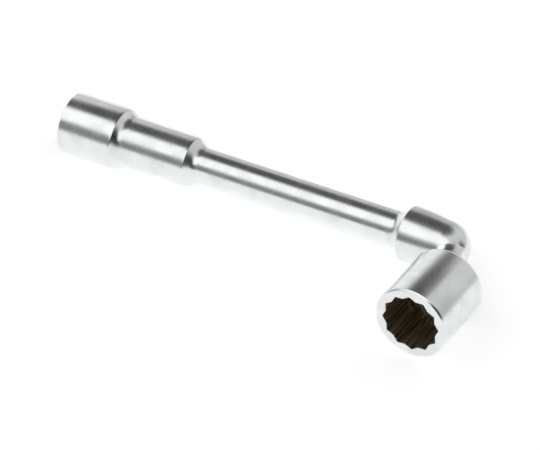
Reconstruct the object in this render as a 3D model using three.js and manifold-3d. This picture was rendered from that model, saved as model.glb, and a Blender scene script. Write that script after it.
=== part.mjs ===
// Angled box wrench: a six-point socket in line with the long arm, and a twelve-point one on the short arm.
// The pieces plug into each other with spigots, and their outer faces are flush.
import * as THREE from "three";
import { mergeVertices } from "three/addons/utils/BufferGeometryUtils.js";
import Module from "manifold-3d";

// Driving dimensions, in millimetres.
// The axes of the two arms cross at one point, and every reach is measured from it.
const LONG_ARM_REACH = 147.4;
const SHORT_ARM_REACH = 41.55;

// Straight socket, six-point
const STRAIGHT_SIZE = 14;
const STRAIGHT_RADIUS = 10.1;
const STRAIGHT_LENGTH = 19.2;
const STRAIGHT_BROACH_DEPTH = 14.5;
const STRAIGHT_PILOT_RADIUS = 6.9;

// Barrel behind the straight socket
const BARREL_RADIUS = 8.3;
const BARREL_LENGTH = 23.6;
const BARREL_BORE_RADIUS = 6.1;
const BARREL_BORE_DEPTH = 35.5;
const BARREL_SPIGOT_RADIUS = 7.2;
const BARREL_SPIGOT_LENGTH = 5.7;

// Shank
const SHANK_RADIUS = 5.95;
const SHANK_TENON_RADIUS = 4;
const SHANK_TENON_LENGTH = 8;
const FLARE_LENGTH = 4.6;

// Elbow
const COLLAR_REACH = 23.15;
const COLLAR_RADIUS = 9.25;
const COLLAR_TENON_RADIUS = 5;
const COLLAR_TENON_LENGTH = 8;
const TAPER_END_REACH = 10.95;
const TAPER_END_RADIUS = 8.25;
const TAPER_CURVE = 1.55;
const BEND_RADIUS = 4.4;
const BEND_ANGLE = THREE.MathUtils.degToRad(67);
const NECK_RADIUS = 4.6;
const CREASE_BLEND = 1.2;
const FLANGE_RADIUS = 7.6;
const FLANGE_THICKNESS = 0.6;
const FLANGE_FILLET = 4;
const ELBOW_SPIGOT_RADIUS = 5;
const ELBOW_SPIGOT_LENGTH = 5;

// Angled socket, twelve-point
const ANGLED_SIZE = 17;
const ANGLED_RADIUS = 12.5;
const ANGLED_LENGTH = 25.2;
const ANGLED_BROACH_DEPTH = 14;
const ANGLED_PILOT_RADIUS = 8.6;
const ANGLED_PILOT_DEPTH = 15.5;
const ANGLED_BROACH_TURN = THREE.MathUtils.degToRad(3);
const ANGLED_BACK_ROUND = 1.2;

// Shared details
const BROACH_CLEARANCE = 0.13;
const SEAT_CLEARANCE = 0.1;
const SEAT_END_GAP = 0.3;
const MOUTH_CHAMFER = 0.5;
const LIP_ROUND = 1;
const FOOT_FILLET = 2.4;
const DRILL_POINT_HEIGHT = 1.2;

// Facets
const SIDES = 48;
const ARC_STEPS = 4;
const TAPER_RINGS = 6;
const BEND_RINGS = 10;
const NECK_RINGS = 7;
const SWEEP_STATIONS = 40;

const wasm = await Module();
wasm.setup();

const chrome = new THREE.MeshStandardMaterial({ color: 0xc9cdcf, roughness: 0.22, metalness: 1 });

// Solid of a closed geometry, ready to be joined or cut.
function solidOf(geometry) {
  const bare = geometry.clone();
  bare.deleteAttribute("normal");
  bare.deleteAttribute("uv");
  const merged = mergeVertices(bare);
  const mesh = new wasm.Mesh({
    numProp: 3,
    vertProperties: merged.attributes.position.array,
    triVerts: new Uint32Array(merged.index.array),
  });
  return new wasm.Manifold(mesh);
}

// Geometry of a solid, with flat faces.
function geometryOf(solid) {
  const mesh = solid.getMesh();
  const indexed = new THREE.BufferGeometry();
  indexed.setAttribute("position", new THREE.BufferAttribute(mesh.vertProperties, 3));
  indexed.setIndex(new THREE.BufferAttribute(mesh.triVerts, 1));
  const faceted = indexed.toNonIndexed();
  faceted.computeVertexNormals();
  return faceted;
}

// Points of an arc in a turning profile, where x is the radius and y runs along the axis.
function arcPoints(centre, radius, from, to) {
  const arc = new THREE.EllipseCurve(centre.x, centre.y, radius, radius, from, to, to < from);
  return arc.getPoints(ARC_STEPS);
}

// Stepped shoulder, from its foot on the thinner part up to the lip of the thicker one.
// A hollow fillet runs into a rounded lip, with a flat step between them if the shoulder is tall.
function shoulderPoints(footAlong, footRadius, lipRadius) {
  const rounds = LIP_ROUND + FOOT_FILLET;
  const height = lipRadius - footRadius;
  const sweep = Math.acos(Math.max(1 - height / rounds, 0));
  const filletCentre = new THREE.Vector2(footRadius + FOOT_FILLET, footAlong);
  const lipCentre = new THREE.Vector2(lipRadius - LIP_ROUND, footAlong + shoulderLength(height));
  return [
    ...arcPoints(filletCentre, FOOT_FILLET, Math.PI, Math.PI - sweep),
    ...arcPoints(lipCentre, LIP_ROUND, -sweep, 0),
  ];
}

// Length along the axis that a shoulder of a given height takes up.
function shoulderLength(height) {
  const rounds = LIP_ROUND + FOOT_FILLET;
  return rounds * Math.sin(Math.acos(Math.max(1 - height / rounds, 0)));
}

// Piece turned about the long arm, whose profile's y is the reach from the crossing point.
function turnedOnLongArm(profile) {
  return new THREE.LatheGeometry(profile, SIDES).rotateZ(Math.PI / 2);
}

// Six-sided broach on the axis. It stands as far out of the mouth as it goes in.
function hexagonBroach(acrossFlats, mouthReach, depth) {
  const corner = (acrossFlats + BROACH_CLEARANCE) / (2 * Math.cos(Math.PI / 6));
  return new THREE.CylinderGeometry(corner, corner, 2 * depth, 6).translate(0, mouthReach, 0);
}

// Places along the long arm
const straightLip = LONG_ARM_REACH - STRAIGHT_LENGTH;
const straightFoot = straightLip - shoulderLength(STRAIGHT_RADIUS - BARREL_RADIUS);
const straightSeat = straightFoot + BARREL_SPIGOT_LENGTH + SEAT_END_GAP;
const barrelLip = straightFoot - BARREL_LENGTH;
const barrelFoot = barrelLip - shoulderLength(BARREL_RADIUS - SHANK_RADIUS);
const barrelBoreEnd = LONG_ARM_REACH - BARREL_BORE_DEPTH;
const flareFoot = COLLAR_REACH + FLARE_LENGTH;
const angledBack = SHORT_ARM_REACH - ANGLED_LENGTH;

function straightSocket() {
  const seatRadius = BARREL_SPIGOT_RADIUS + SEAT_CLEARANCE;
  const profile = [
    new THREE.Vector2(seatRadius, straightFoot),
    ...shoulderPoints(straightFoot, BARREL_RADIUS, STRAIGHT_RADIUS),
    new THREE.Vector2(STRAIGHT_RADIUS, LONG_ARM_REACH - MOUTH_CHAMFER),
    new THREE.Vector2(STRAIGHT_RADIUS - MOUTH_CHAMFER, LONG_ARM_REACH),
    new THREE.Vector2(STRAIGHT_PILOT_RADIUS, LONG_ARM_REACH),
    new THREE.Vector2(STRAIGHT_PILOT_RADIUS, straightSeat),
    new THREE.Vector2(seatRadius, straightSeat),
    new THREE.Vector2(seatRadius, straightFoot),
  ];
  const blank = solidOf(turnedOnLongArm(profile));
  const broach = hexagonBroach(STRAIGHT_SIZE, LONG_ARM_REACH, STRAIGHT_BROACH_DEPTH).rotateZ(Math.PI / 2);
  return geometryOf(blank.subtract(solidOf(broach)));
}

function clearanceBarrel() {
  const tenonSeat = barrelFoot + SHANK_TENON_LENGTH + SEAT_END_GAP;
  const tenonRadius = SHANK_TENON_RADIUS + SEAT_CLEARANCE;
  const spigotEnd = straightFoot + BARREL_SPIGOT_LENGTH;
  const profile = [
    new THREE.Vector2(0, tenonSeat),
    new THREE.Vector2(tenonRadius, tenonSeat),
    new THREE.Vector2(tenonRadius, barrelFoot),
    ...shoulderPoints(barrelFoot, SHANK_RADIUS, BARREL_RADIUS),
    new THREE.Vector2(BARREL_RADIUS, straightFoot),
    new THREE.Vector2(BARREL_SPIGOT_RADIUS, straightFoot),
    new THREE.Vector2(BARREL_SPIGOT_RADIUS, spigotEnd),
    new THREE.Vector2(BARREL_BORE_RADIUS, spigotEnd),
    new THREE.Vector2(BARREL_BORE_RADIUS, barrelBoreEnd + DRILL_POINT_HEIGHT),
    new THREE.Vector2(0, barrelBoreEnd),
  ];
  return turnedOnLongArm(profile);
}

function shank() {
  const rise = COLLAR_RADIUS - SHANK_RADIUS;
  const flareRadius = (FLARE_LENGTH ** 2 + rise ** 2) / (2 * rise);
  const flareCentre = new THREE.Vector2(SHANK_RADIUS + flareRadius, flareFoot);
  const flareSweep = Math.atan2(FLARE_LENGTH, flareRadius - rise);
  const profile = [
    new THREE.Vector2(0, COLLAR_REACH - COLLAR_TENON_LENGTH),
    new THREE.Vector2(COLLAR_TENON_RADIUS, COLLAR_REACH - COLLAR_TENON_LENGTH),
    new THREE.Vector2(COLLAR_TENON_RADIUS, COLLAR_REACH),
    ...arcPoints(flareCentre, flareRadius, Math.PI + flareSweep, Math.PI),
    new THREE.Vector2(SHANK_RADIUS, barrelFoot),
    new THREE.Vector2(SHANK_TENON_RADIUS, barrelFoot),
    new THREE.Vector2(SHANK_TENON_RADIUS, barrelFoot + SHANK_TENON_LENGTH),
    new THREE.Vector2(0, barrelFoot + SHANK_TENON_LENGTH),
  ];
  return turnedOnLongArm(profile);
}

function angledSocket() {
  const seatRadius = ELBOW_SPIGOT_RADIUS + SEAT_CLEARANCE;
  const seatEnd = angledBack + ELBOW_SPIGOT_LENGTH + SEAT_END_GAP;
  const pilotEnd = SHORT_ARM_REACH - ANGLED_PILOT_DEPTH;
  const backCentre = new THREE.Vector2(
    ANGLED_RADIUS - ANGLED_BACK_ROUND,
    angledBack + ANGLED_BACK_ROUND,
  );
  const profile = [
    new THREE.Vector2(0, seatEnd),
    new THREE.Vector2(seatRadius, seatEnd),
    new THREE.Vector2(seatRadius, angledBack),
    ...arcPoints(backCentre, ANGLED_BACK_ROUND, -Math.PI / 2, 0),
    new THREE.Vector2(ANGLED_RADIUS, SHORT_ARM_REACH - MOUTH_CHAMFER),
    new THREE.Vector2(ANGLED_RADIUS - MOUTH_CHAMFER, SHORT_ARM_REACH),
    new THREE.Vector2(ANGLED_PILOT_RADIUS, SHORT_ARM_REACH),
    new THREE.Vector2(ANGLED_PILOT_RADIUS, pilotEnd),
    new THREE.Vector2(0, pilotEnd - DRILL_POINT_HEIGHT),
  ];
  const blank = solidOf(new THREE.LatheGeometry(profile, SIDES));
  const broach = hexagonBroach(ANGLED_SIZE, SHORT_ARM_REACH, ANGLED_BROACH_DEPTH);
  broach.rotateY(-ANGLED_BROACH_TURN);
  const crossedBroach = broach.clone().rotateY(Math.PI / 6);
  const star = solidOf(broach).add(solidOf(crossedBroach));
  return geometryOf(blank.subtract(star)).rotateX(Math.PI);
}

// The elbow is a ball swept along a bent line while it shrinks.
// It makes a tapered bar, a tight bend and a neck that slants to the middle of the angled socket's back.
// The bar and the neck each take half of the bend.
function elbowStations() {
  const { lerp } = THREE.MathUtils;
  const shares = Array.from({ length: SWEEP_STATIONS + 1 }, (_, i) => i / SWEEP_STATIONS);
  const taper = shares.map((share) => ({
    x: lerp(-COLLAR_REACH, -TAPER_END_REACH, share),
    y: 0,
    radius: lerp(COLLAR_RADIUS, TAPER_END_RADIUS, share ** TAPER_CURVE),
  }));
  const bend = shares.map((share) => ({
    x: -TAPER_END_REACH + BEND_RADIUS * Math.sin(share * BEND_ANGLE),
    y: -BEND_RADIUS * (1 - Math.cos(share * BEND_ANGLE)),
    radius: lerp(TAPER_END_RADIUS, NECK_RADIUS, share),
  }));
  const bendEnd = bend.at(-1);
  const slant = shares.map((share) => ({
    x: lerp(bendEnd.x, 0, share),
    y: lerp(bendEnd.y, -angledBack, share),
    radius: NECK_RADIUS,
  }));
  const half = Math.floor(bend.length / 2);
  return { bar: [...taper, ...bend.slice(0, half)], neck: [...bend.slice(half), ...slant] };
}

const stations = elbowStations();

function sweepDistance(point, balls) {
  let least = Infinity;
  for (const ball of balls) {
    const gap = Math.hypot(point.x - ball.x, point.y - ball.y, point.z) - ball.radius;
    least = Math.min(least, gap);
  }
  return least;
}

// Round disc on the short arm's axis that spreads the neck onto the back of the socket.
function flangeDistance(point) {
  const across = Math.hypot(point.x, point.z) - FLANGE_RADIUS;
  const along = Math.abs(point.y + angledBack) - FLANGE_THICKNESS;
  return Math.min(Math.max(across, along), 0) + Math.hypot(Math.max(across, 0), Math.max(along, 0));
}

// Lesser of two distances, rounded where they are nearly equal, so that two forms meet in a fillet.
function blendedLeast(a, b, blend) {
  const overlap = Math.max(blend - Math.abs(a - b), 0) / blend;
  return Math.min(a, b) - (overlap ** 2 * blend) / 4;
}

function elbowDistance(point) {
  const bar = sweepDistance(point, stations.bar);
  const neck = sweepDistance(point, stations.neck);
  return blendedLeast(blendedLeast(bar, neck, CREASE_BLEND), flangeDistance(point), FLANGE_FILLET);
}

// Point of the elbow's surface on the way out from an inner point.
function surfacePoint(inner, direction) {
  let inside = 0;
  let outside = 2 * COLLAR_RADIUS;
  const halvings = 30;
  for (let i = 0; i < halvings; i += 1) {
    const middle = (inside + outside) / 2;
    const isInside = elbowDistance(inner.clone().addScaledVector(direction, middle)) < 0;
    [inside, outside] = isInside ? [middle, outside] : [inside, middle];
  }
  return inner.clone().addScaledVector(direction, inside);
}

// Directions all round a ring, in the plane that holds the Z axis and an outward direction.
function ringDirections(outward) {
  return Array.from({ length: SIDES }, (_, i) => {
    const angle = (2 * Math.PI * i) / SIDES;
    const direction = outward.clone().multiplyScalar(Math.cos(angle));
    return direction.setZ(Math.sin(angle));
  });
}

// Ring of the elbow's surface round an inner point.
function surfaceRing(inner, outward) {
  return ringDirections(outward).map((direction) => surfacePoint(inner, direction));
}

// Flat circle, for the turned ends of the elbow.
function circleRing(centre, outward, radius) {
  return ringDirections(outward).map((direction) => centre.clone().addScaledVector(direction, radius));
}

// Closed solid of rings joined one after another, with a flat cap on the first and on the last.
function ringSolid(rings, firstCentre, lastCentre) {
  const corners = [];
  for (let r = 0; r + 1 < rings.length; r += 1) {
    for (let i = 0; i < SIDES; i += 1) {
      const next = (i + 1) % SIDES;
      const [a, b, c, d] = [rings[r][i], rings[r][next], rings[r + 1][next], rings[r + 1][i]];
      corners.push(a, b, c, a, c, d);
    }
  }
  for (let i = 0; i < SIDES; i += 1) {
    const next = (i + 1) % SIDES;
    corners.push(firstCentre, rings[0][next], rings[0][i]);
    corners.push(lastCentre, rings.at(-1)[i], rings.at(-1)[next]);
  }
  const geometry = new THREE.BufferGeometry().setFromPoints(corners);
  geometry.computeVertexNormals();
  return geometry;
}

function elbow() {
  const acrossLongArm = new THREE.Vector3(0, 1, 0);
  const acrossShortArm = new THREE.Vector3(1, 0, 0);
  const tenonRadius = COLLAR_TENON_RADIUS + SEAT_CLEARANCE;
  const collarCentre = new THREE.Vector3(-COLLAR_REACH, 0, 0);
  const seatCentre = new THREE.Vector3(-COLLAR_REACH + COLLAR_TENON_LENGTH + SEAT_END_GAP, 0, 0);
  const flangeCentre = new THREE.Vector3(0, -angledBack, 0);
  const spigotCentre = new THREE.Vector3(0, -angledBack - ELBOW_SPIGOT_LENGTH, 0);
  // The rings of the bend fan out from a line that stands just clear of the inner corner.
  const pivot = new THREE.Vector3(-TAPER_END_REACH, -TAPER_END_RADIUS - CREASE_BLEND, 0);
  const neckAtPivot = stations.neck.find((ball) => ball.y <= pivot.y);
  const neckTop = new THREE.Vector3(neckAtPivot.x, pivot.y, 0);

  const rings = [
    circleRing(seatCentre, acrossLongArm, tenonRadius),
    circleRing(collarCentre, acrossLongArm, tenonRadius),
    circleRing(collarCentre, acrossLongArm, COLLAR_RADIUS),
  ];
  for (let i = 1; i < TAPER_RINGS; i += 1) {
    const x = THREE.MathUtils.lerp(-COLLAR_REACH, pivot.x, i / TAPER_RINGS);
    rings.push(surfaceRing(new THREE.Vector3(x, 0, 0), acrossLongArm));
  }
  for (let i = 0; i <= BEND_RINGS; i += 1) {
    const share = i / BEND_RINGS;
    const turn = (share * Math.PI) / 2;
    const outward = new THREE.Vector3(Math.sin(turn), Math.cos(turn), 0);
    const stand = THREE.MathUtils.lerp(-pivot.y, neckTop.x - pivot.x, share);
    rings.push(surfaceRing(pivot.clone().addScaledVector(outward, stand), outward));
  }
  for (let i = 1; i < NECK_RINGS; i += 1) {
    const inner = neckTop.clone().lerp(flangeCentre, i / NECK_RINGS);
    rings.push(surfaceRing(inner, acrossShortArm));
  }
  rings.push(
    surfaceRing(flangeCentre, acrossShortArm),
    circleRing(flangeCentre, acrossShortArm, ELBOW_SPIGOT_RADIUS),
    circleRing(spigotCentre, acrossShortArm, ELBOW_SPIGOT_RADIUS),
  );
  return ringSolid(rings, seatCentre, spigotCentre);
}

function piece(name, geometry) {
  const mesh = new THREE.Mesh(geometry, chrome.clone());
  mesh.name = name;
  return mesh;
}

// The part lies flat, with its origin under the middle of its box.
const wrench = new THREE.Group();
wrench.add(
  piece("straight_socket", straightSocket()),
  piece("clearance_barrel", clearanceBarrel()),
  piece("shank", shank()),
  piece("elbow", elbow()),
  piece("angled_socket", angledSocket()),
);
wrench.position.set(
  (LONG_ARM_REACH - ANGLED_RADIUS) / 2,
  (SHORT_ARM_REACH - STRAIGHT_RADIUS) / 2,
  ANGLED_RADIUS,
);

export default wrench;
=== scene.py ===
"""Looks of an angled box wrench in satin chrome, lying on a plain white studio floor."""

import math

import bmesh
import bpy
import numpy as np
from mathutils import Matrix, Vector


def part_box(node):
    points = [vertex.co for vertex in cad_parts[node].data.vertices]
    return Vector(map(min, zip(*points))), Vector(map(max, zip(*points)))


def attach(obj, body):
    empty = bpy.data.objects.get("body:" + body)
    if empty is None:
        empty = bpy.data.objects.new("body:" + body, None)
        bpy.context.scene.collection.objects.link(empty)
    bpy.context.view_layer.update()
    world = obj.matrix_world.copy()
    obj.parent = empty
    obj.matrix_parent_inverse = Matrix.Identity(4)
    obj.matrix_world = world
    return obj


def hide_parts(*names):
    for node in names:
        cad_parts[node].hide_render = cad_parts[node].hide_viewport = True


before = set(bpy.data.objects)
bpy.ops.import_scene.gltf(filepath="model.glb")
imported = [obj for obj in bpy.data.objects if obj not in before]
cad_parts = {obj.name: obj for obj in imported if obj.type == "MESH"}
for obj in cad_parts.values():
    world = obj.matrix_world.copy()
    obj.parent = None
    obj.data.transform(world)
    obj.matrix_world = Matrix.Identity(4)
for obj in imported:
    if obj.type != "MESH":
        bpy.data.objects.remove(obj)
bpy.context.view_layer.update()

MM = 0.001

# Sizes of the wrench in millimetres. They are those of the solids, apart from the shoulders' forms, the
# eased edges and the wider blend in the elbow's crease. Every reach is measured from where the arms'
# axes cross.
angled_low, angled_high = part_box("angled_socket")
straight_low, straight_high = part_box("straight_socket")
barrel_low, barrel_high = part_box("clearance_barrel")
elbow_low, elbow_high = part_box("elbow")
CROSSING = Vector((
    (angled_low.x + angled_high.x) / 2,
    (straight_low.y + straight_high.y) / 2,
    (angled_low.z + angled_high.z) / 2,
))

# The fillets here run out a little farther than those of the solids.
FOOT_RUN_OUT = 0.6

STRAIGHT_RADIUS = (straight_high.y - straight_low.y) / 2 / MM
STRAIGHT_MOUTH = (CROSSING.x - straight_low.x) / MM
STRAIGHT_FOOT = (CROSSING.x - straight_high.x) / MM - FOOT_RUN_OUT
STRAIGHT_SHOULDER_SLOPE = math.radians(40)
STRAIGHT_SIZE = 14.13
STRAIGHT_BROACH_DEPTH = 14.5
STRAIGHT_BROACH_TURN = math.pi / 2
STRAIGHT_PILOT_RADIUS = 6.9
STRAIGHT_SEAT_RADIUS = 7.3

BARREL_RADIUS = (barrel_high.y - barrel_low.y) / 2 / MM
BARREL_SPIGOT_END = (CROSSING.x - barrel_low.x) / MM
BARREL_FOOT = (CROSSING.x - barrel_high.x) / MM - FOOT_RUN_OUT
BARREL_SHOULDER_SLOPE = math.radians(40)
BARREL_SPIGOT_RADIUS = 7.2
BARREL_BORE_RADIUS = 6.1
BARREL_BORE_DEPTH = 35.5
BARREL_SEAT_RADIUS = 4.1
BARREL_SEAT_DEPTH = 8.3

SHANK_RADIUS = 5.95
SHANK_TENON_RADIUS = 4
SHANK_TENON_LENGTH = 8
FLARE_LENGTH = 4.6

COLLAR_REACH = (CROSSING.x - elbow_low.x) / MM
COLLAR_RADIUS = (elbow_high.z - elbow_low.z) / 2 / MM
COLLAR_TENON_RADIUS = 5
COLLAR_TENON_LENGTH = 8
COLLAR_SEAT_RADIUS = 5.1
COLLAR_SEAT_DEPTH = 8.3
TAPER_END_REACH = 10.95
TAPER_END_RADIUS = 8.25
TAPER_CURVE = 1.55
BEND_RADIUS = 4.4
BEND_ANGLE = math.radians(67)
NECK_RADIUS = 4.6
CREASE_BLEND = 2.6
FLANGE_RADIUS = 7.6
FLANGE_THICKNESS = 0.6
FLANGE_FILLET = 4
ELBOW_SPIGOT_RADIUS = 5
ELBOW_SPIGOT_END = (CROSSING.y - elbow_low.y) / MM

ANGLED_RADIUS = (angled_high.x - angled_low.x) / 2 / MM
ANGLED_MOUTH = (CROSSING.y - angled_low.y) / MM
ANGLED_BACK = (CROSSING.y - angled_high.y) / MM
ANGLED_SIZE = 17.13
ANGLED_BROACH_DEPTH = 14
ANGLED_BROACH_TURN = math.radians(3)
ANGLED_PILOT_RADIUS = 8.6
ANGLED_PILOT_DEPTH = 15.5
ANGLED_BACK_ROUND = 1.2
ANGLED_SEAT_RADIUS = 5.1
ANGLED_SEAT_DEPTH = 5.3

MOUTH_CHAMFER = 0.5
CHAMFER_SLOPE = math.pi / 4
CROWN_RADIUS = 3.5
CROWN_SWEEP = math.radians(15)
FOOT_FILLET = 4
DRILL_POINT_HEIGHT = 1.2
SEAT_END_GAP = 0.3
EDGE_ROUND = 0.12
BROACH_CORNER_ROUND = 0.3
BROACH_LEAD_IN = 0.15
SEAM_STRIP = 0.04

# Fineness
SIDES = 192
ARC_STEPS = 12
CORNER_STEPS = 3
TAPER_RINGS = 40
BEND_RINGS = 60
NECK_RINGS = 40
SWEEP_STATIONS = 60
HALVINGS = 32
LEAST_BOW = 1e-9
SHARP_ANGLE = math.radians(22)

CHROME, STEEL = 0, 1


def arc(centre, radius, start, end, steps=ARC_STEPS):
    """Points (reach, radius) of an arc in a turning profile.

    Angle 0 points outwards, and 90 degrees along the reach.
    """
    angles = np.linspace(start, end, steps + 1)
    return [(centre[0] + radius * math.sin(a), centre[1] + radius * math.cos(a)) for a in angles]


def shoulder(foot_reach, foot_radius, lip_radius, slope):
    """Hollow fillet on the thinner part, then a cone up to the crisp, crowned lip of the thicker one."""
    crown_drop = CROWN_RADIUS * (1 - math.cos(CROWN_SWEEP))
    edge_radius = lip_radius - crown_drop
    fillet_height = FOOT_FILLET * (1 - math.cos(slope))
    cone_length = (edge_radius - foot_radius - fillet_height) / math.tan(slope)
    edge_reach = foot_reach + FOOT_FILLET * math.sin(slope) + cone_length
    crown_centre = (edge_reach + CROWN_RADIUS * math.sin(CROWN_SWEEP), lip_radius - CROWN_RADIUS)
    return [
        (foot_reach, foot_radius),
        (foot_reach + SEAM_STRIP, foot_radius),
        *arc((foot_reach, foot_radius + FOOT_FILLET), FOOT_FILLET, math.pi, math.pi - slope)[1:],
        *arc(crown_centre, CROWN_RADIUS, -CROWN_SWEEP, 0),
    ]


def on_long_arm(reach, radius, angles):
    """Ring about the long arm's axis."""
    radii = np.broadcast_to(radius, angles.shape)
    return np.stack([np.full_like(angles, -reach), radii * np.cos(angles), radii * np.sin(angles)], 1)


def on_short_arm(reach, radius, angles):
    """Ring about the short arm's axis."""
    radii = np.broadcast_to(radius, angles.shape)
    return np.stack([radii * np.cos(angles), np.full_like(angles, -reach), radii * np.sin(angles)], 1)


def broach_outline(across_flats, hexagons, turn):
    """Angles and radii round the outline of one hexagon, or of two crossed ones, with rounded corners."""
    flat = across_flats / 2
    step = math.pi / (6 * hexagons)
    vertices = []
    for i in range(6 * hexagons):
        vertices.append((flat / math.cos(math.pi / 6), turn + 2 * i * step))
        if hexagons == 2:
            vertices.append((flat / math.cos(step), turn + (2 * i + 1) * step))
    points = np.array([(r * math.cos(a), r * math.sin(a)) for r, a in vertices])
    flat_steps = 2 * SIDES // len(points)
    outline = []
    for before, here, after in zip(np.roll(points, 1, 0), points, np.roll(points, -1, 0)):
        to_before = (before - here) / np.linalg.norm(before - here)
        to_after = (after - here) / np.linalg.norm(after - here)
        half = math.acos(np.clip(to_before @ to_after, -1, 1)) / 2
        cut = BROACH_CORNER_ROUND / math.tan(half)
        start, end = here + cut * to_before, here + cut * to_after
        for t in np.linspace(0, 1, CORNER_STEPS + 1):
            outline.append((1 - t) ** 2 * start + 2 * t * (1 - t) * here + t ** 2 * end)
        next_start = after - cut * to_after
        for t in np.linspace(0, 1, flat_steps + 1)[1:-1]:
            outline.append(end + t * (next_start - end))
    outline = np.array(outline)
    return np.arctan2(outline[:, 1], outline[:, 0]), np.linalg.norm(outline, axis=1)


def skin(name, node, bands, start=None, end=None):
    """Closed piece of rings joined in order, which stands for a CAD node.

    Each band is a ring and the material of the faces from it to the next ring. With no start and end points
    the last ring joins the first, and otherwise they close the two ends.
    """
    mesh = bmesh.new()
    rings = []
    for ring, _ in bands:
        rings.append([mesh.verts.new(Vector(p) * MM + CROSSING) for p in ring])
    count = len(rings[0])
    pairs = list(zip(rings, rings[1:]))
    if start is None:
        pairs.append((rings[-1], rings[0]))
    for (low, high), (_, material) in zip(pairs, bands):
        for i in range(count):
            face = mesh.faces.new((low[i - 1], low[i], high[i], high[i - 1]))
            face.material_index = material
    if start is not None:
        for ring, point, material in ((rings[0], start, bands[0][1]), (rings[-1], end, bands[-1][1])):
            tip = mesh.verts.new(Vector(point) * MM + CROSSING)
            for i in range(count):
                face = mesh.faces.new((ring[i - 1], ring[i], tip))
                face.material_index = material
    bmesh.ops.recalc_face_normals(mesh, faces=mesh.faces)
    data = bpy.data.meshes.new(name)
    mesh.to_mesh(data)
    mesh.free()
    data.shade_smooth()
    data.set_sharp_from_angle(angle=SHARP_ANGLE)
    piece = bpy.data.objects.new(name, data)
    bpy.context.scene.collection.objects.link(piece)
    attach(piece, "root")
    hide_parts(node)
    return piece


def turned(profile, place, angles, material=CHROME):
    """Bands of a turned profile."""
    return [(place(reach, radius, angles), material) for reach, radius in profile]


ROUND = np.linspace(0, 2 * math.pi, SIDES, endpoint=False)


def mouth_edge(mouth, radius):
    """Chamfered rim of a socket, from its side to its face, with both corners eased."""
    ease = EDGE_ROUND * math.tan(CHAMFER_SLOPE / 2)
    side_centre = (mouth - MOUTH_CHAMFER - ease, radius - EDGE_ROUND)
    face_centre = (mouth - EDGE_ROUND, radius - MOUTH_CHAMFER - ease)
    return [
        *arc(side_centre, EDGE_ROUND, 0, CHAMFER_SLOPE, CORNER_STEPS),
        *arc(face_centre, EDGE_ROUND, CHAMFER_SLOPE, math.pi / 2, CORNER_STEPS),
    ]


def broached_bore(place, mouth, depth, angles, radii):
    """Bands of a broached hole, from its mouth to the foot of the broach."""
    lead_in = radii + BROACH_LEAD_IN
    return [
        (place(mouth, lead_in, angles), STEEL),
        (place(mouth - BROACH_LEAD_IN, radii, angles), STEEL),
        (place(mouth - depth, radii, angles), STEEL),
    ]


def make_straight_socket():
    angles, radii = broach_outline(STRAIGHT_SIZE, 1, STRAIGHT_BROACH_TURN)
    outside = [
        *shoulder(STRAIGHT_FOOT, BARREL_RADIUS, STRAIGHT_RADIUS, STRAIGHT_SHOULDER_SLOPE),
        *mouth_edge(STRAIGHT_MOUTH, STRAIGHT_RADIUS),
    ]
    seat = BARREL_SPIGOT_END + SEAT_END_GAP
    inside = [
        (STRAIGHT_MOUTH - STRAIGHT_BROACH_DEPTH, STRAIGHT_PILOT_RADIUS),
        (seat, STRAIGHT_PILOT_RADIUS),
        (seat, STRAIGHT_SEAT_RADIUS),
        (STRAIGHT_FOOT, STRAIGHT_SEAT_RADIUS),
    ]
    bands = turned(outside, on_long_arm, angles)
    bands += broached_bore(on_long_arm, STRAIGHT_MOUTH, STRAIGHT_BROACH_DEPTH, angles, radii)
    bands += turned(inside, on_long_arm, angles, STEEL)
    return skin("straight_socket_skin", "straight_socket", bands)


def make_clearance_barrel():
    bore_end = STRAIGHT_MOUTH - BARREL_BORE_DEPTH
    seat_end = BARREL_FOOT + BARREL_SEAT_DEPTH
    seat = [(seat_end, BARREL_SEAT_RADIUS)]
    outside = [
        (BARREL_FOOT, BARREL_SEAT_RADIUS),
        *shoulder(BARREL_FOOT, SHANK_RADIUS, BARREL_RADIUS, BARREL_SHOULDER_SLOPE),
        (STRAIGHT_FOOT, BARREL_RADIUS),
        (STRAIGHT_FOOT, BARREL_SPIGOT_RADIUS),
    ]
    spigot = [
        (BARREL_SPIGOT_END, BARREL_SPIGOT_RADIUS),
        (BARREL_SPIGOT_END, BARREL_BORE_RADIUS),
        (bore_end + DRILL_POINT_HEIGHT, BARREL_BORE_RADIUS),
    ]
    bands = turned(seat, on_long_arm, ROUND, STEEL)
    bands += turned(outside, on_long_arm, ROUND)
    bands += turned(spigot, on_long_arm, ROUND, STEEL)
    return skin("clearance_barrel_skin", "clearance_barrel", bands, (-seat_end, 0, 0), (-bore_end, 0, 0))


def make_shank():
    rise = COLLAR_RADIUS - EDGE_ROUND - SHANK_RADIUS
    flare_radius = (FLARE_LENGTH ** 2 + rise ** 2) / (2 * rise)
    flare_sweep = math.atan2(FLARE_LENGTH, flare_radius - rise)
    flare_foot = COLLAR_REACH + FLARE_LENGTH
    tenon_start = COLLAR_REACH - COLLAR_TENON_LENGTH
    tenon_end = BARREL_FOOT + SHANK_TENON_LENGTH
    flare_centre = (flare_foot, SHANK_RADIUS + flare_radius)
    profile = [
        (tenon_start, COLLAR_TENON_RADIUS),
        (COLLAR_REACH, COLLAR_TENON_RADIUS),
        *arc(flare_centre, flare_radius, math.pi + flare_sweep, math.pi, 2 * ARC_STEPS),
        (BARREL_FOOT, SHANK_RADIUS),
        (BARREL_FOOT, SHANK_TENON_RADIUS),
        (tenon_end, SHANK_TENON_RADIUS),
    ]
    bands = turned(profile, on_long_arm, ROUND)
    return skin("shank_skin", "shank", bands, (-tenon_start, 0, 0), (-tenon_end, 0, 0))


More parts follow.
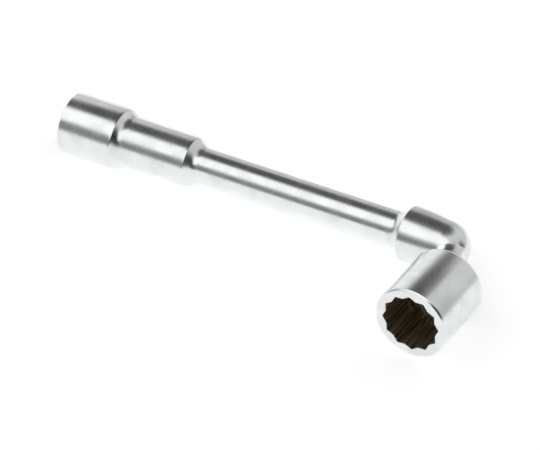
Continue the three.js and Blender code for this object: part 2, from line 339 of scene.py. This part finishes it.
def make_angled_socket():
    angles, radii = broach_outline(ANGLED_SIZE, 2, ANGLED_BROACH_TURN)
    seat_end = ANGLED_BACK + ANGLED_SEAT_DEPTH
    pilot_end = ANGLED_MOUTH - ANGLED_PILOT_DEPTH
    back_centre = (ANGLED_BACK + ANGLED_BACK_ROUND, ANGLED_RADIUS - ANGLED_BACK_ROUND)
    seat = [(seat_end, ANGLED_SEAT_RADIUS)]
    outside = [
        (ANGLED_BACK, ANGLED_SEAT_RADIUS),
        *arc(back_centre, ANGLED_BACK_ROUND, -math.pi / 2, 0),
        *mouth_edge(ANGLED_MOUTH, ANGLED_RADIUS),
    ]
    inside = [
        (ANGLED_MOUTH - ANGLED_BROACH_DEPTH, ANGLED_PILOT_RADIUS),
        (pilot_end, ANGLED_PILOT_RADIUS),
    ]
    bands = turned(seat, on_short_arm, angles, STEEL)
    bands += turned(outside, on_short_arm, angles)
    bands += broached_bore(on_short_arm, ANGLED_MOUTH, ANGLED_BROACH_DEPTH, angles, radii)
    bands += turned(inside, on_short_arm, angles, STEEL)
    bottom = (0, -(pilot_end - DRILL_POINT_HEIGHT), 0)
    return skin("angled_socket_skin", "angled_socket", bands, (0, -seat_end, 0), bottom)


def elbow_stations():
    """Centres and radii of the balls that sweep out the bar and the neck, each with half of the bend."""
    share = np.linspace(0, 1, SWEEP_STATIONS + 1)
    taper = np.stack([
        -COLLAR_REACH + share * (COLLAR_REACH - TAPER_END_REACH),
        0 * share,
        COLLAR_RADIUS + (TAPER_END_RADIUS - COLLAR_RADIUS) * share ** TAPER_CURVE,
    ], 1)
    bend = np.stack([
        -TAPER_END_REACH + BEND_RADIUS * np.sin(share * BEND_ANGLE),
        -BEND_RADIUS * (1 - np.cos(share * BEND_ANGLE)),
        TAPER_END_RADIUS + (NECK_RADIUS - TAPER_END_RADIUS) * share,
    ], 1)
    slant = np.stack([
        bend[-1, 0] * (1 - share),
        bend[-1, 1] + (-ANGLED_BACK - bend[-1, 1]) * share,
        0 * share + NECK_RADIUS,
    ], 1)
    half = len(bend) // 2
    return np.concatenate([taper, bend[:half]]), np.concatenate([bend[half:], slant])


def sweep_distance(points, balls):
    """Distance to a swept ball. A parabola through the nearest stations takes their spacing out of it."""
    across = np.hypot(points[:, None, 0] - balls[None, :, 0], points[:, None, 1] - balls[None, :, 1])
    gaps = np.hypot(across, points[:, None, 2]) - balls[None, :, 2]
    nearest = np.clip(gaps.argmin(1), 1, len(balls) - 2)
    rows = np.arange(len(points))
    before, here, after = (gaps[rows, nearest + k] for k in (-1, 0, 1))
    bow = np.maximum(before - 2 * here + after, LEAST_BOW)
    refined = here - (before - after) ** 2 / (8 * bow)
    least = gaps.min(1)
    return np.where(np.abs(before - after) < bow, np.minimum(refined, least), least)


def flange_distance(points):
    """Distance to the round disc that spreads the neck onto the back of the angled socket."""
    across = np.hypot(points[:, 0], points[:, 2]) - FLANGE_RADIUS
    along = np.abs(points[:, 1] + ANGLED_BACK) - FLANGE_THICKNESS
    outside = np.hypot(np.maximum(across, 0), np.maximum(along, 0))
    return np.minimum(np.maximum(across, along), 0) + outside


def blended_least(a, b, blend):
    """Lesser of two distances, rounded where they are nearly equal, so that two forms meet in a fillet."""
    overlap = np.maximum(blend - np.abs(a - b), 0) / blend
    return np.minimum(a, b) - overlap ** 2 * blend / 4


def make_elbow():
    bar, neck = elbow_stations()

    def distance(points):
        body = blended_least(sweep_distance(points, bar), sweep_distance(points, neck), CREASE_BLEND)
        return blended_least(body, flange_distance(points), FLANGE_FILLET)

    def surface_ring(inner, outward):
        """Ring of the surface round an inner point, in the plane of Z and an outward direction."""
        directions = np.stack([outward[0] * np.cos(ROUND), outward[1] * np.cos(ROUND), np.sin(ROUND)], 1)
        inside, outside = np.zeros(SIDES), np.full(SIDES, 2 * COLLAR_RADIUS)
        for _ in range(HALVINGS):
            middle = (inside + outside) / 2
            is_inside = distance(inner + middle[:, None] * directions) < 0
            inside, outside = np.where(is_inside, middle, inside), np.where(is_inside, outside, middle)
        return inner + inside[:, None] * directions

    across_long, across_short = (0, 1), (1, 0)
    seat = COLLAR_REACH - COLLAR_SEAT_DEPTH
    pivot = np.array([-TAPER_END_REACH, -TAPER_END_RADIUS - CREASE_BLEND, 0])
    at_pivot = neck[np.argmax(neck[:, 1] <= pivot[1])]
    neck_top = np.array([at_pivot[0], pivot[1], 0])
    flange = np.array([0, -ANGLED_BACK, 0])

    rings = [
        on_long_arm(seat, COLLAR_SEAT_RADIUS, ROUND),
        on_long_arm(COLLAR_REACH, COLLAR_SEAT_RADIUS, ROUND),
    ]
    edge = (COLLAR_REACH - EDGE_ROUND, COLLAR_RADIUS - EDGE_ROUND)
    for reach, radius in arc(edge, EDGE_ROUND, math.pi / 2, 0, CORNER_STEPS + 1):
        rings.append(on_long_arm(reach, radius, ROUND))
    for x in np.linspace(-COLLAR_REACH, pivot[0], TAPER_RINGS + 1)[1:-1]:
        rings.append(surface_ring(np.array([x, 0, 0]), across_long))
    for share in np.linspace(0, 1, BEND_RINGS + 1):
        turn = share * math.pi / 2
        outward = (math.sin(turn), math.cos(turn))
        stand = -pivot[1] + share * (neck_top[0] - pivot[0] + pivot[1])
        rings.append(surface_ring(pivot + stand * np.array([*outward, 0]), outward))
    for share in np.linspace(0, 1, NECK_RINGS + 1)[1:]:
        rings.append(surface_ring(neck_top + share * (flange - neck_top), across_short))
    rings.append(on_short_arm(ANGLED_BACK, ELBOW_SPIGOT_RADIUS, ROUND))
    rings.append(on_short_arm(ELBOW_SPIGOT_END, ELBOW_SPIGOT_RADIUS, ROUND))
    bands = [(ring, CHROME) for ring in rings]
    return skin("elbow_skin", "elbow", bands, (-seat, 0, 0), (0, -ELBOW_SPIGOT_END, 0))


pieces = [
    make_straight_socket(),
    make_clearance_barrel(),
    make_shank(),
    make_elbow(),
    make_angled_socket(),
]


def link(tree, value, socket):
    """Feeds a node's output, or a constant, into a socket."""
    if isinstance(value, bpy.types.NodeSocket):
        tree.links.new(value, socket)
    else:
        socket.default_value = value


def calculate(tree, operation, *values):
    node = tree.nodes.new("ShaderNodeMath")
    node.operation = operation
    for value, socket in zip(values, node.inputs):
        link(tree, value, socket)
    return node.outputs["Value"]


def blend_colours(tree, share, first, second):
    node = tree.nodes.new("ShaderNodeMix")
    node.data_type = "RGBA"
    colours = [socket for socket in node.inputs if socket.type == "RGBA"]
    link(tree, share, node.inputs["Factor"])
    link(tree, first, colours[0])
    link(tree, second, colours[1])
    return next(socket for socket in node.outputs if socket.type == "RGBA")


def map_range(tree, value, start, end, low=0.0, high=1.0):
    node = tree.nodes.new("ShaderNodeMapRange")
    node.interpolation_type = "SMOOTHSTEP"
    for name, number in (("From Min", start), ("From Max", end), ("To Min", low), ("To Max", high)):
        node.inputs[name].default_value = number
    link(tree, value, node.inputs["Value"])
    return node.outputs["Result"]


def noise(tree, spacing, detail):
    """Cloudy pattern on the object, with a spacing in metres along each axis."""
    place = tree.nodes.new("ShaderNodeTexCoord").outputs["Object"]
    scaled = tree.nodes.new("ShaderNodeVectorMath")
    scaled.operation = "DIVIDE"
    tree.links.new(place, scaled.inputs[0])
    scaled.inputs[1].default_value = spacing
    pattern = tree.nodes.new("ShaderNodeTexNoise")
    pattern.inputs["Scale"].default_value = 1
    pattern.inputs["Detail"].default_value = detail
    tree.links.new(scaled.outputs["Vector"], pattern.inputs["Vector"])
    return pattern.outputs["Fac"]


def add_bump(tree, shader, height, depth, strength):
    bump = tree.nodes.new("ShaderNodeBump")
    bump.inputs["Strength"].default_value = strength
    bump.inputs["Distance"].default_value = depth
    tree.links.new(height, bump.inputs["Height"])
    tree.links.new(bump.outputs["Normal"], shader.inputs["Normal"])


def blank_material(name):
    material = bpy.data.materials.new(name)
    material.use_nodes = True
    return material, material.node_tree, material.node_tree.nodes["Principled BSDF"]


# The part of a noise pattern's range that the tones are spread over.
NOISE_SPREAD = (0.35, 0.65)

CHROME_LIGHT = (0.82, 0.84, 0.845, 1)
CHROME_DULL = (0.755, 0.775, 0.78, 1)
CHROME_ROUGHNESS = (0.2, 0.29)
CHROME_CLOUDS = (0.006, 0.006, 0.006)
CHROME_GRAIN = (0.00025, 0.00025, 0.00025)
CHROME_GRAIN_DEPTH = 0.000004
CHROME_GRAIN_STRENGTH = 0.3
CLOUD_DETAIL, GRAIN_DETAIL = 4, 2
CLOUD_SHARE, GRAIN_SHARE = 0.6, 0.4


def make_chrome():
    """Satin chrome plate: cloudy in tone and gloss, over a fine blasted grain."""
    material, tree, shader = blank_material("satin_chrome")
    shader.inputs["Metallic"].default_value = 1
    clouds = noise(tree, CHROME_CLOUDS, CLOUD_DETAIL)
    grain = noise(tree, CHROME_GRAIN, GRAIN_DETAIL)
    colour = blend_colours(tree, map_range(tree, clouds, *NOISE_SPREAD), CHROME_LIGHT, CHROME_DULL)
    tree.links.new(colour, shader.inputs["Base Color"])
    cloud_part = calculate(tree, "MULTIPLY", clouds, CLOUD_SHARE)
    mottle = calculate(tree, "MULTIPLY_ADD", grain, GRAIN_SHARE, cloud_part)
    roughness = map_range(tree, mottle, *NOISE_SPREAD, *CHROME_ROUGHNESS)
    tree.links.new(roughness, shader.inputs["Roughness"])
    add_bump(tree, shader, grain, CHROME_GRAIN_DEPTH, CHROME_GRAIN_STRENGTH)
    return material


STEEL_LIGHT = (0.48, 0.4, 0.3, 1)
STEEL_DARK = (0.17, 0.14, 0.1, 1)
STEEL_ROUGHNESS = (0.36, 0.55)
STREAK_WIDTH = 0.0007
STREAK_LENGTH = 0.02
STREAK_DEPTH = 0.00003
STREAK_STRENGTH = 0.4
STREAK_DETAIL = 3
STREAK_SPREAD = (0.3, 0.7)


def make_steel(name, arm):
    """Bare brownish steel with the streaks that a broach leaves along an arm's axis."""
    material, tree, shader = blank_material(name)
    shader.inputs["Metallic"].default_value = 1
    spacing = [STREAK_WIDTH] * 3
    spacing[arm] = STREAK_LENGTH
    streaks = noise(tree, spacing, STREAK_DETAIL)
    colour = blend_colours(tree, map_range(tree, streaks, *NOISE_SPREAD), STEEL_DARK, STEEL_LIGHT)
    tree.links.new(colour, shader.inputs["Base Color"])
    roughness = map_range(tree, streaks, *STREAK_SPREAD, *STEEL_ROUGHNESS)
    tree.links.new(roughness, shader.inputs["Roughness"])
    add_bump(tree, shader, streaks, STREAK_DEPTH, STREAK_STRENGTH)
    return material


LONG_ARM, SHORT_ARM = 0, 1
chrome = make_chrome()
long_arm_steel = make_steel("long_arm_steel", LONG_ARM)
short_arm_steel = make_steel("short_arm_steel", SHORT_ARM)
for piece in pieces:
    piece.data.materials.append(chrome)
    piece.data.materials.append(short_arm_steel if piece.name == "angled_socket_skin" else long_arm_steel)


FLOOR_SIZE = 6
FLOOR_COLOUR = (0.9, 0.9, 0.9, 1)
FLOOR_ROUGHNESS = 0.6
FLOOR_GLOW_COLOUR = (1, 1, 1, 1)
FLOOR_GLOW = 0.52


def make_floor():
    """White floor that slopes a little, because the wrench lies on the undersides of its two sockets."""
    half = FLOOR_SIZE / 2
    mesh = bpy.data.meshes.new("floor")
    corners = [(-half, -half, 0), (half, -half, 0), (half, half, 0), (-half, half, 0)]
    mesh.from_pydata(corners, [], [(0, 1, 2, 3)])
    floor = bpy.data.objects.new("floor", mesh)
    bpy.context.scene.collection.objects.link(floor)
    slope = math.atan((ANGLED_RADIUS - STRAIGHT_RADIUS) / STRAIGHT_MOUTH)
    floor.rotation_euler = (0, slope, 0)
    floor.location = (CROSSING.x, 0, 0)
    material, _, shader = blank_material("white_floor")
    shader.inputs["Base Color"].default_value = FLOOR_COLOUR
    shader.inputs["Roughness"].default_value = FLOOR_ROUGHNESS
    shader.inputs["Emission Color"].default_value = FLOOR_GLOW_COLOUR
    shader.inputs["Emission Strength"].default_value = FLOOR_GLOW
    mesh.materials.append(material)


make_floor()


CAMERA_PLACE = (1.033743, -1.806527, 1.533651)
CAMERA_YAW = math.radians(29.72)
CAMERA_PITCH = math.radians(36.206)
CAMERA_ROLL = math.radians(-0.297)
FOCAL_PIXELS = 8112.3
IMAGE_WIDTH = 540
SENSOR_WIDTH = 36


def make_camera():
    """Camera at the photograph's viewing angle."""
    data = bpy.data.cameras.new("camera")
    data.sensor_width = SENSOR_WIDTH
    data.lens = FOCAL_PIXELS * SENSOR_WIDTH / IMAGE_WIDTH
    camera = bpy.data.objects.new("camera", data)
    bpy.context.scene.collection.objects.link(camera)
    camera.matrix_world = (
        Matrix.Translation(CAMERA_PLACE)
        @ Matrix.Rotation(CAMERA_YAW, 4, "Z")
        @ Matrix.Rotation(math.pi / 2 - CAMERA_PITCH, 4, "X")
        @ Matrix.Rotation(CAMERA_ROLL, 4, "Z")
    )
    bpy.context.scene.camera = camera


make_camera()

# Studio. Each panel has the azimuth of its middle, turning from +Y towards +X, its elevation, its half
# width and half height, and the width of its soft edge, all in degrees, and then its light.
CEILING = (0.20, 0.20, 0.19)
PANELS = {
    "back wall": (-20, 0, 95, 36, 14, (0.55, 0.55, 0.54)),
    "left of the back wall": (-62, 8, 30, 30, 25, (1.0, 1.0, 1.0)),
    "right window": (28, 32, 22, 26, 16, (0.72, 0.72, 0.72)),
    "upper right": (125, 62, 60, 18, 20, (0.7, 0.7, 0.7)),
    "dark ceiling": (-62, 68, 34, 26, 22, (0.075, 0.075, 0.066)),
    "dark strip over the back wall": (-10, 50, 20, 4.5, 6, (0.06, 0.058, 0.045)),
    "front of the room": (-160, 5, 35, 16, 14, (0.2, 0.2, 0.2)),
    "dark room on the right": (119, 8, 60, 28, 14, (0.02, 0.02, 0.02)),
    "front softbox": (-160, 56, 38, 22, 12, (1.22, 1.22, 1.22)),
}
BACKGROUND = (1, 1, 1)


def panel_share(tree, direction, azimuth, elevation, half_width, half_height, softness):
    """How far a direction lies inside a soft-edged panel."""
    turn = Matrix.Rotation(-math.radians(azimuth), 3, "Z") @ Matrix.Rotation(math.radians(elevation), 3, "X")
    parts = []
    for axis in turn.transposed():
        dot = tree.nodes.new("ShaderNodeVectorMath")
        dot.operation = "DOT_PRODUCT"
        dot.inputs[1].default_value = axis
        tree.links.new(direction, dot.inputs[0])
        parts.append(dot.outputs["Value"])
    side, ahead, up = parts
    across = calculate(tree, "ABSOLUTE", calculate(tree, "ARCTAN2", side, ahead))
    rise = calculate(tree, "ABSOLUTE", calculate(tree, "ARCSINE", up))
    edge = math.radians(softness / 2)
    width, height = math.radians(half_width), math.radians(half_height)
    inside_width = map_range(tree, across, width + edge, width - edge)
    inside_height = map_range(tree, rise, height + edge, height - edge)
    return calculate(tree, "MULTIPLY", inside_width, inside_height)


def make_studio():
    """World of soft panels for reflections and light. The camera itself sees a plain pale background."""
    world = bpy.data.worlds.new("studio")
    world.use_nodes = True
    tree = world.node_tree
    direction = tree.nodes.new("ShaderNodeTexCoord").outputs["Generated"]
    light = (*CEILING, 1)
    for *form, colour in PANELS.values():
        light = blend_colours(tree, panel_share(tree, direction, *form), light, (*colour, 1))
    seen = tree.nodes.new("ShaderNodeLightPath").outputs["Is Camera Ray"]
    light = blend_colours(tree, seen, light, (*BACKGROUND, 1))
    tree.links.new(light, tree.nodes["Background"].inputs["Color"])
    bpy.context.scene.world = world
    bpy.context.scene.view_settings.view_transform = "Standard"


make_studio()
